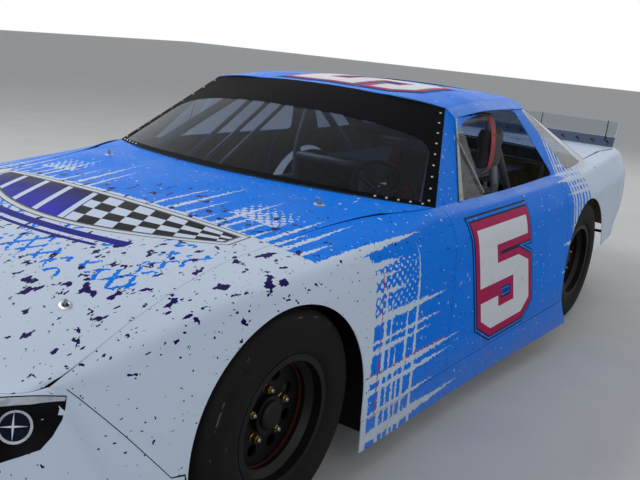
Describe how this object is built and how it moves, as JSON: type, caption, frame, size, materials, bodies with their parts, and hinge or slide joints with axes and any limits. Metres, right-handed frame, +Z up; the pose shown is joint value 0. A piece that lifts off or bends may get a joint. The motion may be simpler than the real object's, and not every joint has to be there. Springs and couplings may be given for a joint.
{
  "type": "stock car",
  "caption": "Oval-track late-model stock car with flat-sided panels over a tube chassis, slick tyres, working steering, turning wheels, lift-off hood and hinged deck lid.",
  "frame": {"origin": "bottom centre of the bounding box, on the ground", "axes": "+Z up, nose towards -Y, driver's left side towards +X"},
  "size_m": [2.132, 4.96, 1.253],
  "materials": {
    "white_panel": "gloss",
    "blue_panel": "gloss",
    "clear_plastic": "clear",
    "bare_aluminium": "brushed",
    "plated_steel": "plated",
    "black_steel": "satin",
    "grey_plate": "satin",
    "cast_iron": "rough",
    "black_plastic": "matte",
    "spring_steel": "satin",
    "seat_cover": "woven",
    "tyre": "worn",
    "wheel_steel": "satin"
  },
  "bodies": {
    "chassis": {"nose_cover": "white_panel", "rear_bumper_cover": "white_panel", "left_fender": "white_panel", "right_fender": "white_panel", "left_door": "blue_panel", "right_door": "blue_panel", "left_quarter_panel": "white_panel", "right_quarter_panel": "white_panel", "rocker_panels": "blue_panel", "roof_panel": "blue_panel", "window_posts": "blue_panel", "windshield": "clear_plastic", "rear_window": "clear_plastic", "side_windows": "clear_plastic", "interior_panels": "bare_aluminium", "hood_pins": "plated_steel", "deck_hinges": "black_steel", "spoiler_base": "grey_plate", "spoiler_blade": "clear_plastic", "frame_rails": "black_steel", "roll_cage": "black_steel", "engine_block": "cast_iron", "radiator": "bare_aluminium", "fuel_cell": "black_plastic", "rear_axle": "cast_iron", "coil_springs": "spring_steel", "front_arms": "black_steel", "steering_rack": "bare_aluminium", "steering_column": "black_steel", "dashboard": "bare_aluminium", "driver_seat": "bare_aluminium", "seat_padding": "seat_cover"},
    "hood": {"hood": "blue_panel"},
    "deck_lid": {"deck_lid": "white_panel"},
    "left_steer": {"left_knuckle": "cast_iron"},
    "right_steer": {"right_knuckle": "cast_iron"},
    "rack": {"track_rod": "plated_steel"},
    "helm": {"steering_wheel": "black_plastic"},
    "wheel_left_front": {"left_front_tyre": "tyre", "left_front_wheel": "wheel_steel"},
    "wheel_right_front": {"right_front_tyre": "tyre", "right_front_wheel": "wheel_steel"},
    "wheel_left_rear": {"left_rear_tyre": "tyre", "left_rear_wheel": "wheel_steel"},
    "wheel_right_rear": {"right_rear_tyre": "tyre", "right_rear_wheel": "wheel_steel"}
  },
  "joints": [
    {"name": "left_front_spin", "type": "hinge", "parent": "left_steer", "child": "wheel_left_front", "pos_m": [0.8175, -1.38, 0.345], "axis": [1, 0, 0], "continuous": true},
    {"name": "right_front_spin", "type": "hinge", "parent": "right_steer", "child": "wheel_right_front", "pos_m": [-0.8175, -1.38, 0.345], "axis": [1, 0, 0], "continuous": true},
    {"name": "left_rear_spin", "type": "hinge", "parent": "chassis", "child": "wheel_left_rear", "pos_m": [0.8275, 1.287, 0.345], "axis": [1, 0, 0], "continuous": true},
    {"name": "right_rear_spin", "type": "hinge", "parent": "chassis", "child": "wheel_right_rear", "pos_m": [-0.8275, 1.287, 0.345], "axis": [1, 0, 0], "continuous": true},
    {"name": "left_steering", "type": "hinge", "parent": "chassis", "child": "left_steer", "pos_m": [0.745, -1.38, 0.345], "axis": [0, 0, 1], "range_deg": [-20, 20]},
    {"name": "right_steering", "type": "hinge", "parent": "chassis", "child": "right_steer", "pos_m": [-0.745, -1.38, 0.345], "axis": [0, 0, 1], "range_deg": [-20, 20]},
    {"name": "rack_slide", "type": "slide", "parent": "chassis", "child": "rack", "axis": [1, 0, 0], "range_m": [-0.04, 0.04]},
    {"name": "steering_wheel_turn", "type": "hinge", "parent": "chassis", "child": "helm", "pos_m": [0.36, 0.05, 0.735], "axis": [0, 0.9397, 0.342], "range_deg": [-270, 270]},
    {"name": "deck_lid_hinge", "type": "hinge", "parent": "chassis", "child": "deck_lid", "pos_m": [0, 1.85, 0.86], "axis": [1, 0, 0], "range_deg": [0, 60]},
    {"name": "hood_lift", "type": "slide", "parent": "chassis", "child": "hood", "axis": [0, 0, 1], "range_m": [0, 0.5]}
  ],
  "couplings": [
    {"joint": "right_steering", "follows": "left_steering", "ratio": 1},
    {"joint": "rack_slide", "follows": "left_steering", "m_per_rad": 0.11},
    {"joint": "steering_wheel_turn", "follows": "left_steering", "ratio": 13.4}
  ]
}
